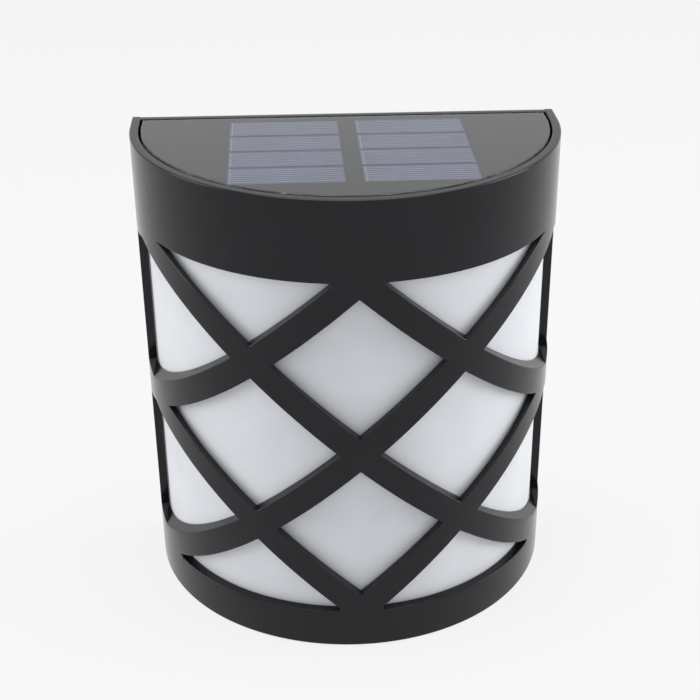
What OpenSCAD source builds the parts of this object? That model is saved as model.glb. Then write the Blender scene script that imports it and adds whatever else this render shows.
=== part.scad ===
// Solar wall light: a half-round lattice housing over a frosted diffuser, closed by a
// solar panel lid, and by a rear cover with two keyholes and an on/off slide switch.
// The wall face is the plane y = 0 and looks to +Y, the front looks to -Y, and the
// base is the plane z = 0. Sizes are in millimetres.

/* [Housing] */
// Width across the two straight sides
body_w = 105; // [105:1:115]
// Straight run of each side, from the wall to where the half round begins
side_run = 7.5; // [7.5:0.5:11]
// Height of the housing
body_h = 120; // [108:1:140]
// Thickness of the housing's wall
wall = 2.2; // [1.8:0.1:2.4]
// Thickness of the housing's floor
floor_t = 2.2; // [1.8:0.1:3]
// Thickness of the rail that closes the rim along the wall
rail_t = 2.2; // [1.8:0.1:2.6]

/* [Lattice] */
// Height of the plain band round the top
top_band = 19.6; // [18:0.1:24]
// Height of the plain band round the base
base_band = 10.7; // [10:0.1:14]
// How far the straps' lowest crossings lie above the base band's edge
crossing_rise = 0.5; // [0:0.1:1]
// How far the outermost crossings lie inside the inner wall face
crossing_inset = 0.1; // [0.1:0.1:2]
// Width of one strap, square to its run along the wall
strap_w = 6.6; // [5:0.1:8]
// Distance from the wall to where the outermost windows end
window_end = 12; // [10:0.5:16]

/* [Diffuser] */
// Thickness of the diffuser
diffuser_t = 1.6; // [1.2:0.1:2]
// Gap between the diffuser and the housing's wall
diffuser_gap = 0.3; // [0.2:0.05:0.6]

/* [Lid] */
// Gap between the lid and the rim round it
lid_gap = 0.5; // [0.3:0.05:0.7]
// Thickness of the clear resin over the solar cells
resin_t = 1.4; // [1:0.1:2]
// Thickness of the board that carries the solar cells
panel_board_t = 1.2; // [0.8:0.1:1.6]
// Thickness of the lid's tray
tray_t = 2.4; // [2:0.1:3]
// Height of the ribs and screw bosses under the tray
tray_rib_h = 2.4; // [2:0.1:2.8]
// Thickness of the lid's gasket
lid_gasket_t = 0.8; // [0.5:0.1:1.2]
// Width of the ledge that the lid sits on
ledge_w = 3; // [2.6:0.1:3.4]
// Thickness of that ledge
ledge_t = 2.2; // [1.8:0.1:2.6]

/* [Solar cells] */
// Length of one cell strip, along the wall
cell_l = 26.2; // [20:0.1:26.4]
// Width of one cell strip, out from the wall
cell_w = 10; // [8:0.1:10]
// Gap between neighbouring strips
cell_gap = 0.9; // [0.5:0.1:1]
// Gap between the left and the right group of strips
group_gap = 4.2; // [2:0.1:4.5]
// Number of strips in each group
cell_count = 4; // [2:1:4]
// Distance from the wall to the first strip
cell_start = 5.3; // [4:0.1:5.5]
// Thickness of a cell
cell_t = 0.4; // [0.2:0.1:0.6]

/* [Rear cover] */
// Thickness of the rear cover
rear_t = 2.4; // [2:0.1:3]
// Gap round the rear cover
rear_gap = 0.4; // [0.2:0.05:0.6]
// Thickness of the rear gasket
rear_gasket_t = 1; // [0.6:0.1:1.4]
// Width of the rear gasket
rear_gasket_w = 3.5; // [3:0.1:4]
// Clear depth of the compartment between the rear cover and the reflector
chamber_d = 18; // [17.4:0.1:20]
// Diameter of the rear cover's four pillars
pillar_d = 7; // [6.6:0.1:7.4]

/* [Keyholes] */
// Distance between the two keyholes
keyhole_spacing = 50; // [44:1:54]
// Distance from the top of the housing down to the keyholes' round entries
keyhole_drop = 34; // [32:0.5:35]
// Diameter of the round entry, for the wall screw's head
keyhole_entry_d = 9; // [8:0.1:9.6]
// Width of the neck, for the wall screw's shank
keyhole_neck_w = 4.6; // [4.2:0.1:5]
// Height from the entry's centre to the neck's upper end
keyhole_neck_l = 8; // [7:0.1:9]
// Clear depth behind the cover for the wall screw's head
keyhole_depth = 4.5; // [4.2:0.1:6]

/* [Reflector and light] */
// Thickness of the reflector
reflector_t = 1.6; // [1.2:0.1:2]
// Height of the reflector's standoffs
standoff_h = 4; // [3:0.1:4.4]
// Width of the light's circuit board
board_w = 60; // [58:1:66]
// Height of that board
board_h = 40; // [36:1:42]
// Thickness of that board
board_t = 1.6; // [1:0.1:2]
// Height of that board's centre above the base
board_z = 59; // [54:0.5:62]
// Spacing of the lamps along the wall
lamp_pitch_x = 22; // [14:1:22]
// Spacing of the lamps' two rows
lamp_pitch_z = 24; // [14:1:26]
// Diameter of one lamp's dome
lamp_d = 5; // [4:0.1:5.4]

/* [Battery] */
// Diameter of the rechargeable cell
battery_d = 14.2; // [13.8:0.1:14.5]
// Length of the cell, with its raised contact
battery_l = 50; // [48:0.1:50.5]
// Gap between the light's circuit board and the battery holder below it
holder_gap = 4.2; // [3.6:0.1:5]
// Wall of the battery holder
holder_t = 1.4; // [1:0.1:1.6]

/* [Switch] */
// Distance from the top of the housing down to the switch
switch_drop = 28; // [26:0.5:29]
// Travel of the switch's knob
switch_travel = 2; // [1.5:0.1:2.4]
// Width of the knob along its travel
knob_w = 3; // [2.4:0.1:3.4]
// Depth of the recess round the knob
recess_d = 4.6; // [4.2:0.1:5]

/* [Hidden] */
$fn = 96;

// Colours
housing_black = "#2b282d";
rubber_black = "#18181a";
frosted_white = "#d9dde2";
reflector_white = "#f2f2ee";
cell_blue = "#7d87a3";
panel_green = "#2c3c38";
board_green = "#2f6b46";
steel = "#b9bcc0";
copper = "#b8733a";

// Clearance between flat faces that only pass each other
clear = 0.3;
// Overlap that joins two shapes of one solid
join = 0.5;
// A cut runs this far past the faces that it opens
past = 1;
// Gap round a piece that lies in a pocket of its own size, and round a screw's thread
snug = 0.05;

// Housing
outer_r = body_w / 2;
inner_r = outer_r - wall;
window_h = body_h - top_band - base_band;
lattice_x = (inner_r - crossing_inset) / 2;
lattice_z = window_h / 4;
strap_slope = lattice_z / lattice_x;
strap_steps = 16;

// Lid, from the rim down
resin_z = body_h - resin_t;
panel_board_z = resin_z - panel_board_t;
tray_z = panel_board_z - tray_t;
ledge_top = tray_z - lid_gasket_t;
ledge_z = ledge_top - ledge_t;
lid_r = inner_r - lid_gap;
lid_back = -(rail_t + lid_gap);
lid_boss_d = 5.2;
lid_pilot_d = 2.1;
lid_head_d = 7;
lid_head_h = 1.6;
lid_pad_d = 10;
lid_pad_run = 2.5;
lid_screw_inset = diffuser_gap + diffuser_t + lid_head_d / 2 + join;
lid_screw_r = inner_r - lid_screw_inset;
lid_screws_at = [
    [0, -side_run - lid_screw_r],
    [-lid_screw_r, -side_run - lid_pad_run],
    [lid_screw_r, -side_run - lid_pad_run]
];

// Diffuser, between the floor and the ledge
diffuser_r = inner_r - diffuser_gap;
diffuser_in_r = diffuser_r - diffuser_t;
seal_y = -(rear_t + rear_gasket_t);

// Reflector, and the bosses in front of its corners
carrier_y = -(rear_t + chamber_d);
reflector_front = carrier_y - reflector_t;
boss_d = 6.6;
boss_l = 10;
boss_web = 2.2;
pilot_d = 2.5;
boss_end = reflector_front - boss_l;
function half_chord(r, y) = sqrt(r * r - pow(-y - side_run, 2));
boss_x = half_chord(diffuser_in_r, boss_end) - boss_d / 2 - 3 * clear;
boss_low = floor_t + rear_gap + clear + rear_gasket_w + pillar_d / 2 + join;
boss_top = ledge_z - rear_gap - clear - rear_gasket_w - pillar_d / 2 - join;
bosses_at = [for (x = [-boss_x, boss_x], z = [boss_low, boss_top]) [x, z]];
reflector_x = half_chord(diffuser_in_r, reflector_front) - clear;
reflector_flange = 4;

// Rear cover
rear_x = inner_r - rear_gap;
rear_z = floor_t + rear_gap;
rear_h = ledge_z - rear_gap - rear_z;
rear_hole_d = 3.4;
counterbore_d = 6.4;
counterbore_h = 3;
gasket_rib_t = 2.2;
gasket_rib_h = rear_gap + clear + rear_gasket_w;
gasket_rib_inset = 2;
gasket_rib_x = diffuser_in_r - gasket_rib_inset;
keyhole_z = body_h - keyhole_drop;
pocket_wall = 1.2;
pocket_w = keyhole_entry_d + 2 * clear;
pocket_h = keyhole_neck_l + pocket_w;

// Screws
cross_l = 2.4;
cross_w = 0.6;
rear_screw_d = pilot_d - 2 * snug;
rear_head_d = 5.6;
rear_head_h = 2;
rear_screw_grip = 8;
small_pilot_d = 2;
small_screw_d = small_pilot_d - 2 * snug;
small_head_d = 3.8;
small_head_h = 1.4;

// Light board
board_back = carrier_y + standoff_h + board_t;
board_front = board_back - board_t;
standoff_d = 5.2;
board_screw_inset = 3.5;
board_screw_x = board_w / 2 - board_screw_inset;
lamps_at = [
    for (i = [-1 : 1], j = [-0.5, 0.5]) [i * lamp_pitch_x, board_z + j * lamp_pitch_z]
];
lamp_flange = 0.4;
lamp_flange_l = 1;
lamp_body_l = 6;

// Parts on the back of the light board
chip_x = -6.8;
chip_w = 4.5;
chip_h = 4;
chip_d = 1.8;
inductor_x = 8;
inductor_d = 6;
inductor_core_d = 4;
inductor_l = 5.2;
inductor_flange = 1;

// Battery holder, on the reflector's rear face
spring_l = 4.6;
tab_t = 0.4;
holder_in_l = spring_l + battery_l + tab_t;
holder_in_h = battery_d + 2 * clear;
holder_x = holder_in_l / 2 + holder_t;
holder_top = board_z - board_h / 2 - holder_gap;
battery_z = holder_top - holder_t - holder_in_h / 2;
holder_back = carrier_y + holder_t + battery_d + clear;
battery_y = carrier_y + holder_t + battery_d / 2;
battery_x = -holder_in_l / 2 + spring_l;
nub_l = 1.2;
nub_d = 5;
ear_reach = 4;
ear_x = holder_x + ear_reach;
ear_h = 6.6;
tongue_w = 4;
tongue_h = 3;
contact_d = 12;
spring_r = 4.6;
spring_tip_r = 2.8;
spring_turns = 4;
spring_wire_d = 0.7;

// Switch
switch_z = body_h - switch_drop;
block_w = 27;
block_h = 11;
recess_w = 16;
recess_h = 7.8;
recess_floor = 1.6;
block_back = -(recess_d + recess_floor);
frame_t = 0.6;
frame_w = 24;
frame_h = 6;
switch_screw_x = 9.8;
switch_pilot_d = 1.7;
switch_pilot_l = 4;
switch_body_w = 9.6;
switch_body_h = 5.2;
switch_body_d = 4.4;
switch_front = block_back - frame_t;
switch_back = switch_front - switch_body_d;
knob_h = 2.2;
knob_slot_w = knob_w + switch_travel + 2 * clear;
knob_slot_h = knob_h + 2 * clear;
knob_end = -1.4;
knob_seat = 1.2;
knob_root = switch_back + knob_seat;
terminal_w = 1;
terminal_t = 0.5;
terminal_l = 2.4;
terminal_pitch = 2.5;

// Wires: outer diameter, how far and for what share of its drop a wire runs straight on
// before it bends away, and where the solar panel's pair leaves the lid
wire_d = 1.3;
wire_sides = 8;
wire_steps = 12;
wire_end = 0.5;
wire_lead = 4;
wire_share = 0.55;
panel_wire_x = 15.5;
panel_wire_y = -13;
panel_wire_pitch = 3;
wire_hole_d = 8;
pad_inset = 3;
pad_z = board_z + board_h / 2 - pad_inset;
battery_pad_x = board_w / 2 - 2 * pad_inset;
battery_pad_z = board_z - board_h / 2 + pad_inset;

// The plan of the lamp: half round about the lamp's axis, straight back to back_y
module plan(r, back_y = 0) {
    intersection() {
        union() {
            translate([0, -side_run]) circle(r);
            translate([-r, -side_run]) square([2 * r, 2 * r]);
        }
        translate([-r - past, back_y - 3 * r]) square([2 * r + 2 * past, 3 * r]);
    }
}

// A round bar or bore that starts at depth y and runs forward, away from the wall
module forward(x, y, z, d, l) {
    translate([x, y, z]) rotate([90, 0, 0]) cylinder(d = d, h = l);
}

// A box from its middle in x and z, running forward from depth y
module forward_box(x, y, z, w, l, h) {
    translate([x - w / 2, y - l, z - h / 2]) cube([w, l, h]);
}

// Housing

// Half the height of a strap where it crosses the place x: it keeps its width along the
// wall, and so gets lower where the wall turns away
function strap_half(x) =
    strap_w / 2 * sqrt(1 + pow(strap_slope, 2) * (1 - pow(min(1, abs(x) / outer_r), 2)));

// A strap through the middle of the front at a height, rising to the side that turn names
module strap(height, turn) {
    places = concat(
        [-outer_r - past],
        [for (i = [0 : strap_steps]) outer_r * sin(180 * i / strap_steps - 90)],
        [outer_r + past]
    );
    ends = len(places) - 1;
    polygon(concat(
        [for (i = [0 : ends])
            [places[i], height + turn * strap_slope * places[i] + strap_half(places[i])]],
        [for (i = [ends : -1 : 0])
            [places[i], height + turn * strap_slope * places[i] - strap_half(places[i])]]
    ));
}

module windows() {
    difference() {
        translate([-outer_r - past, base_band]) square([2 * (outer_r + past), window_h]);
        for (k = [0 : 2], turn = [-1, 1])
            strap(base_band + crossing_rise + 2 * k * lattice_z, turn);
    }
}

module lattice_wall() {
    difference() {
        linear_extrude(body_h)
            difference() {
                plan(outer_r);
                plan(inner_r, past);
            }
        translate([0, -window_end, 0])
            rotate([90, 0, 0])
                linear_extrude(outer_r + past) windows();
    }
}

module rim_rail() {
    translate([-inner_r - join, -rail_t, ledge_z])
        cube([2 * (inner_r + join), rail_t, body_h - ledge_z]);
}

module lid_ledge() {
    translate([0, 0, ledge_z])
        linear_extrude(ledge_t)
            difference() {
                plan(inner_r + join, -join);
                plan(inner_r - ledge_w, -rail_t - ledge_w);
            }
    for (at = lid_screws_at)
        translate([at[0], at[1], ledge_z]) cylinder(d = lid_pad_d, h = ledge_t);
}

// What the rear gasket is pressed against, under the ledge and on the floor
module gasket_ribs() {
    for (z = [floor_t - join, ledge_z - gasket_rib_h])
        translate([-gasket_rib_x, seal_y - gasket_rib_t, z])
            cube([2 * gasket_rib_x, gasket_rib_t, gasket_rib_h + join]);
}

// The four bosses that the rear screws bite into, on webs from the floor and the ledge
module carrier_bosses() {
    for (at = bosses_at)
        forward(at[0], reflector_front, at[1], boss_d, boss_l);
    for (x = [-boss_x, boss_x]) {
        translate([x - boss_web / 2, boss_end, floor_t - join])
            cube([boss_web, boss_l, boss_low - floor_t + join]);
        translate([x - boss_web / 2, boss_end, boss_top])
            cube([boss_web, boss_l, ledge_top - boss_top]);
    }
    for (side = [-1, 1])
        translate([0, 0, ledge_z])
            linear_extrude(ledge_t)
                intersection() {
                    plan(inner_r + join);
                    translate([side * (boss_x + outer_r / 2 - boss_web / 2), boss_end + boss_l / 2])
                        square([outer_r, boss_l], center = true);
                }
}

module front_shell() {
    color(housing_black)
    difference() {
        union() {
            lattice_wall();
            linear_extrude(floor_t) plan(inner_r + join);
            rim_rail();
            lid_ledge();
            gasket_ribs();
            carrier_bosses();
        }
        for (at = lid_screws_at)
            translate([at[0], at[1], ledge_z - past])
                cylinder(d = lid_boss_d + 2 * clear, h = ledge_t + 2 * past);
        for (at = bosses_at)
            forward(at[0], reflector_front + past, at[1], pilot_d, rear_screw_grip + 2 * past);
    }
}

module diffuser() {
    color(frosted_white)
    translate([0, 0, floor_t])
        linear_extrude(ledge_z - clear - floor_t)
            difference() {
                plan(diffuser_r, seal_y);
                plan(diffuser_in_r, past);
            }
}

// Lid

// One group of cell strips on side -1 (left) or 1 (right), each strip grown by extra all round
module cell_group(side, extra = 0) {
    x = side * (group_gap + cell_l) / 2;
    for (i = [0 : cell_count - 1])
        translate([
            x - cell_l / 2 - extra,
            -cell_start - cell_w - i * (cell_w + cell_gap) - extra,
            resin_z - extra
        ])
            cube([cell_l + 2 * extra, cell_w + 2 * extra, cell_t + 2 * extra]);
}

module solar_cells_left() {
    color(cell_blue) cell_group(-1);
}

module solar_cells_right() {
    color(cell_blue) cell_group(1);
}

module panel_resin() {
    color("#4a5054", 0.6)
    difference() {
        translate([0, 0, resin_z]) linear_extrude(resin_t) plan(lid_r, lid_back);
        cell_group(-1, snug);
        cell_group(1, snug);
    }
}

module panel_board() {
    color(panel_green)
    translate([0, 0, panel_board_z]) linear_extrude(panel_board_t) plan(lid_r, lid_back);
}

module tray_rib(y) {
    half = half_chord(inner_r - ledge_w - gasket_rib_inset, y);
    translate([-half, y, tray_z - tray_rib_h])
        cube([2 * half, boss_web, tray_rib_h + join]);
}

module panel_tray() {
    color(housing_black)
    difference() {
        union() {
            translate([0, 0, tray_z]) linear_extrude(tray_t) plan(lid_r, lid_back);
            for (at = lid_screws_at)
                translate([at[0], at[1], tray_z - tray_rib_h])
                    cylinder(d = lid_boss_d, h = tray_rib_h + join);
            tray_rib(-side_run - outer_r / 5 - boss_web);
            tray_rib(boss_end - 2 * boss_web);
        }
        for (at = lid_screws_at)
            translate([at[0], at[1], tray_z - tray_rib_h - past])
                cylinder(d = lid_pilot_d, h = tray_rib_h + tray_t + past - join);
        translate([panel_wire_x, panel_wire_y, tray_z - past])
            cylinder(d = wire_hole_d, h = tray_t + 2 * past);
    }
}

module lid_gasket() {
    color(rubber_black)
    translate([0, 0, ledge_top])
        linear_extrude(lid_gasket_t)
            difference() {
                plan(inner_r - clear, -rail_t - clear);
                plan(inner_r - ledge_w + clear, -rail_t - ledge_w + clear);
            }
}

module lid_screws() {
    color(steel)
    for (at = lid_screws_at)
        translate([at[0], at[1], ledge_z - lid_head_h]) {
            difference() {
                cylinder(d = lid_head_d, h = lid_head_h);
                cross_recess(lid_head_h / 2);
            }
            cylinder(d = lid_pilot_d - 2 * snug, h = lid_head_h + ledge_t + tray_t);
        }
}

// The driver's cross in a screw head, cut from the plane z = 0 upwards
module cross_recess(depth) {
    for (turn = [0, 90])
        rotate(turn)
            translate([-cross_l / 2, -cross_w / 2, -past]) cube([cross_l, cross_w, depth + past]);
}

// Reflector and light

module reflector() {
    color(reflector_white)
    difference() {
        union() {
            translate([-reflector_x, reflector_front, floor_t + clear])
                cube([2 * reflector_x, reflector_t, ledge_z - floor_t - 2 * clear]);
            for (side = [-1, 1])
                forward_box(
                    side * (reflector_x - reflector_t / 2), carrier_y + reflector_flange,
                    (floor_t + ledge_z) / 2, reflector_t, reflector_flange + join,
                    boss_top - boss_low
                );
            for (x = [-board_screw_x, board_screw_x])
                forward(x, carrier_y + standoff_h, board_z, standoff_d, standoff_h + join);
            for (x = [-ear_x, ear_x])
                forward(x, carrier_y + standoff_h, battery_z, standoff_d, standoff_h + join);
        }
        for (at = lamps_at)
            forward(at[0], carrier_y + past, at[1], lamp_d + 2 * clear, reflector_t + 2 * past);
        for (at = bosses_at)
            forward(at[0], carrier_y + past, at[1], rear_hole_d, reflector_t + 2 * past);
        for (x = [-board_screw_x, board_screw_x])
            forward(x, carrier_y + standoff_h + past, board_z, small_pilot_d, standoff_h + past + join);
        for (x = [-ear_x, ear_x])
            forward(x, carrier_y + standoff_h + past, battery_z, small_pilot_d, standoff_h + past + join);
    }
}

module led_board() {
    color(board_green)
    difference() {
        forward_box(0, board_back, board_z, board_w, board_t, board_h);
        for (x = [-board_screw_x, board_screw_x])
            forward(x, board_back + past, board_z, small_pilot_d + clear, board_t + 2 * past);
    }
}

module leds() {
    color(frosted_white)
    for (at = lamps_at) {
        forward(at[0], board_front, at[1], lamp_d + 2 * lamp_flange, lamp_flange_l);
        forward(at[0], board_front, at[1], lamp_d, lamp_body_l);
        translate([at[0], board_front - lamp_body_l, at[1]]) sphere(d = lamp_d);
    }
}

module driver_chip() {
    color(rubber_black)
    forward_box(chip_x, board_back + chip_d, board_z, chip_w, chip_d, chip_h);
}

module inductor() {
    color(rubber_black) {
        forward(inductor_x, board_back + inductor_l, board_z, inductor_core_d, inductor_l);
        for (l = [inductor_flange, inductor_l])
            forward(inductor_x, board_back + l, board_z, inductor_d, inductor_flange);
    }
}

// Screws through the board and the holder's ears into the reflector's standoffs
module carrier_screws() {
    color(steel)
    for (at = [
        [-board_screw_x, board_z], [board_screw_x, board_z],
        [-ear_x, battery_z], [ear_x, battery_z]
    ])
        difference() {
            union() {
                forward(at[0], board_back + small_head_h, at[1], small_head_d, small_head_h);
                forward(at[0], board_back, at[1], small_screw_d, board_t + standoff_h);
            }
            translate([at[0], board_back + small_head_h, at[1]])
                rotate([90, 0, 0]) cross_recess(small_head_h / 2);
        }
}

// Battery

module battery_holder() {
    color(reflector_white)
    difference() {
        union() {
            forward_box(
                0, holder_back, battery_z, 2 * holder_x, holder_back - carrier_y,
                holder_in_h + 2 * holder_t
            );
            forward_box(0, board_back, battery_z, 2 * ear_x, board_t, ear_h);
            for (x = [-ear_x, ear_x])
                forward(x, board_back, battery_z, ear_h, board_t);
        }
        forward_box(
            0, holder_back + past, battery_z, holder_in_l,
            holder_back + past - carrier_y - holder_t, holder_in_h
        );
        for (x = [-ear_x, ear_x])
            forward(x, board_back + past, battery_z, small_pilot_d + clear, board_t + 2 * past);
        for (side = [-1, 1])
            translate([side * (holder_in_l / 2 - 2 * tab_t), battery_y, holder_top - holder_t])
                cube([4 * tab_t, tongue_w + 2 * clear, 3 * holder_t], center = true);
    }
}

module battery_cell() {
    color("#3f7f4f")
    translate([battery_x, battery_y, battery_z])
        rotate([0, 90, 0]) {
            cylinder(d = battery_d, h = battery_l - nub_l);
            cylinder(d = nub_d, h = battery_l);
        }
}

// A contact plate against one end wall of the holder, with a tongue up through its notch
module contact_plate(x) {
    translate([x, battery_y, battery_z]) rotate([0, 90, 0]) cylinder(d = contact_d, h = tab_t);
    translate([x, battery_y - tongue_w / 2, battery_z])
        cube([tab_t, tongue_w, holder_top + tongue_h - battery_z]);
}

module battery_tab() {
    color(steel) contact_plate(holder_in_l / 2 - tab_t);
}

module battery_plate() {
    color(steel) contact_plate(-holder_in_l / 2);
}

// Points of a conical coil along X, from the contact plate to the battery's flat end
function coil_point(t) =
    let (
        r = spring_r + (spring_tip_r - spring_r) * t,
        start = -holder_in_l / 2 + tab_t + spring_wire_d / 2,
        run = spring_l - tab_t - spring_wire_d
    )
    [
        start + run * t,
        battery_y + r * cos(360 * spring_turns * t),
        battery_z + r * sin(360 * spring_turns * t)
    ];

module battery_spring() {
    coil_steps = 12 * spring_turns;
    color(steel)
    tube([for (i = [0 : coil_steps]) coil_point(i / coil_steps)], spring_wire_d, 6, [1, 0, 0]);
}

// Rear cover

module keyhole(x) {
    forward(x, past, keyhole_z, keyhole_entry_d, rear_t + 2 * past);
    forward(x, past, keyhole_z + keyhole_neck_l, keyhole_neck_w, rear_t + 2 * past);
    forward_box(
        x, past, keyhole_z + keyhole_neck_l / 2, keyhole_neck_w, rear_t + 2 * past, keyhole_neck_l
    );
}

module keyhole_pocket(x, extra) {
    forward_box(
        x, -rear_t + (extra > 0 ? join : 0), keyhole_z + keyhole_neck_l / 2, pocket_w + 2 * extra,
        keyhole_depth + extra + (extra > 0 ? join : 0), pocket_h + 2 * extra
    );
}

module rear_cover() {
    color(housing_black)
    difference() {
        union() {
            forward_box(0, 0, rear_z + rear_h / 2, 2 * rear_x, rear_t, rear_h);
            for (at = bosses_at)
                forward(at[0], -join, at[1], pillar_d, -carrier_y - join);
            for (side = [-1, 1])
                keyhole_pocket(side * keyhole_spacing / 2, pocket_wall);
            forward_box(0, -join, switch_z, block_w, -block_back - join, block_h);
        }
        for (at = bosses_at) {
            forward(at[0], past, at[1], rear_hole_d, -carrier_y + 2 * past);
            forward(at[0], past, at[1], counterbore_d, counterbore_h + past);
        }
        for (side = [-1, 1]) {
            keyhole(side * keyhole_spacing / 2);
            keyhole_pocket(side * keyhole_spacing / 2, 0);
            forward(
                side * switch_screw_x, block_back + switch_pilot_l, switch_z,
                switch_pilot_d, switch_pilot_l + past
            );
        }
        forward_box(0, past, switch_z, recess_w, recess_d + past, recess_h);
        forward_box(0, past, switch_z, knob_slot_w, past - block_back + past, knob_slot_h);
    }
}

module rear_gasket() {
    gasket_x = inner_r - rear_gap - clear;
    gasket_h = rear_h - 2 * clear;
    color(rubber_black)
    difference() {
        forward_box(0, -rear_t, rear_z + rear_h / 2, 2 * gasket_x, rear_gasket_t, gasket_h);
        forward_box(
            0, -rear_t + past, rear_z + rear_h / 2, 2 * (gasket_x - rear_gasket_w),
            rear_gasket_t + 2 * past, gasket_h - 2 * rear_gasket_w
        );
    }
}

module rear_screws() {
    color(steel)
    for (at = bosses_at)
        difference() {
            union() {
                forward(at[0], rear_head_h - counterbore_h, at[1], rear_head_d, rear_head_h);
                forward(
                    at[0], -counterbore_h, at[1], rear_screw_d,
                    -reflector_front - counterbore_h + rear_screw_grip
                );
            }
            translate([at[0], rear_head_h - counterbore_h, at[1]])
                rotate([90, 0, 0]) cross_recess(rear_head_h / 2);
        }
}

// Switch

module switch_frame() {
    color(steel)
    difference() {
        forward_box(0, block_back, switch_z, frame_w, frame_t, frame_h);
        forward_box(0, block_back + past, switch_z, knob_slot_w, frame_t + 2 * past, knob_slot_h);
        for (x = [-switch_screw_x, switch_screw_x])
            forward(x, block_back + past, switch_z, switch_pilot_d + clear, frame_t + 2 * past);
    }
}

module switch_body() {
    color(rubber_black)
    difference() {
        forward_box(0, switch_front, switch_z, switch_body_w, switch_body_d, switch_body_h);
        forward_box(
            0, switch_front + past, switch_z, knob_slot_w,
            switch_front + past - knob_root + clear, knob_slot_h
        );
    }
}

// The knob is drawn at the off end of its travel
module switch_knob() {
    color("#e8e8e6")
    forward_box(
        -switch_travel / 2, knob_end, switch_z, knob_w, knob_end - knob_root, knob_h
    );
}

module switch_terminals() {
    color(copper)
    for (x = [-terminal_pitch, 0, terminal_pitch])
        forward_box(x, switch_back, switch_z, terminal_w, terminal_l, terminal_t);
}

module switch_screws() {
    color(steel)
    for (x = [-switch_screw_x, switch_screw_x])
        difference() {
            union() {
                forward(x, switch_front, switch_z, small_head_d - join, small_head_h);
                forward(
                    x, block_back + switch_pilot_l - join, switch_z,
                    switch_pilot_d - 2 * snug, switch_pilot_l + frame_t - join
                );
            }
            translate([x, switch_front - small_head_h, switch_z])
                rotate([-90, 0, 0]) cross_recess(small_head_h / 2);
        }
}

// Wires

function unit(v) = v / norm(v);
function bezier(a, b, c, d, t) =
    pow(1 - t, 3) * a + 3 * pow(1 - t, 2) * t * b + 3 * (1 - t) * t * t * c + t * t * t * d;

// A round tube along points, with side taken from a direction that no stretch runs along
module tube(points, d, sides, side) {
    last = len(points) - 1;
    rings = [
        for (i = [0 : last])
            let (
                run = unit(points[min(i + 1, last)] - points[max(i - 1, 0)]),
                u = unit(cross(run, side)),
                v = cross(run, u)
            )
            for (k = [0 : sides - 1])
                points[i] + d / 2 * (u * cos(360 * k / sides) + v * sin(360 * k / sides))
    ];
    walls = [
        for (i = [0 : last - 1], k = [0 : sides - 1])
            let (a = i * sides + k, b = i * sides + (k + 1) % sides)
            each [[a, b, b + sides], [a, b + sides, a + sides]]
    ];
    start_cap = [for (k = [1 : sides - 2]) [0, k + 1, k]];
    end_cap = [for (k = [1 : sides - 2]) [last * sides, last * sides + k, last * sides + k + 1]];
    polyhedron(points = rings, faces = concat(walls, start_cap, end_cap));
}

// A wire from a towards a + lead_a, arriving at b from b + lead_b, with straight ends
module wire(a, lead_a, b, lead_b, side = [1, 0, 0]) {
    from = a + wire_end * unit(lead_a);
    to = b + wire_end * unit(lead_b);
    bend = [
        for (i = [0 : wire_steps]) bezier(from, from + lead_a, to + lead_b, to, i / wire_steps)
    ];
    tube(concat([a], bend, [b]), wire_d, wire_sides, side);
}

module panel_wire(side) {
    x = panel_wire_x + side * panel_wire_pitch / 2;
    drop = wire_share * (panel_board_z - pad_z);
    wire(
        [x, panel_wire_y, panel_board_z], [0, 0, -drop],
        [x, board_back, pad_z], [0, wire_lead, 0]
    );
}

module panel_wire_red() {
    color("#b3262a") panel_wire(-1);
}

module panel_wire_black() {
    color(rubber_black) panel_wire(1);
}

// From the inner face of a contact's tongue up to the light board
module battery_wire(side) {
    wire(
        [side * (holder_in_l / 2 - tab_t), battery_y, holder_top + tongue_h / 2],
        [-side * wire_lead, 0, 0],
        [side * battery_pad_x, board_back, battery_pad_z],
        [0, wire_lead, 0], [side, -1, 0]
    );
}

module battery_wire_red() {
    color("#b3262a") battery_wire(1);
}

module battery_wire_black() {
    color(rubber_black) battery_wire(-1);
}

module switch_wire(x) {
    drop = wire_share * (switch_z - pad_z);
    wire(
        [x, switch_back - terminal_l / 2, switch_z - terminal_t / 2], [0, 0, -drop],
        [x, board_back, pad_z], [0, wire_lead, 0]
    );
}

module switch_wire_left() {
    color("#b3262a") switch_wire(-terminal_pitch);
}

module switch_wire_right() {
    color("#b3262a") switch_wire(0);
}

front_shell();
diffuser();
panel_tray();
panel_board();
solar_cells_left();
solar_cells_right();
panel_resin();
lid_gasket();
lid_screws();
reflector();
led_board();
leds();
driver_chip();
inductor();
carrier_screws();
battery_holder();
battery_cell();
battery_plate();
battery_spring();
battery_tab();
rear_cover();
rear_gasket();
rear_screws();
switch_frame();
switch_body();
switch_terminals();
switch_knob();
switch_screws();
panel_wire_red();
panel_wire_black();
battery_wire_red();
battery_wire_black();
switch_wire_left();
switch_wire_right();
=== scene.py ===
"""The looks of a half-round solar wall light: a black lattice housing over a frosted diffuser, a
solar panel lid, and a rear cover with keyholes and a slide switch.

Lengths are in millimetres unless a name or a comment says otherwise, and repeat the CAD model's
own sizes: +X is right, the wall is the plane y = 0, the front looks to -Y and the base is z = 0.
"""

import math

import bmesh
import bpy
from mathutils import Matrix, Vector
from mathutils.geometry import delaunay_2d_cdt


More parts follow.
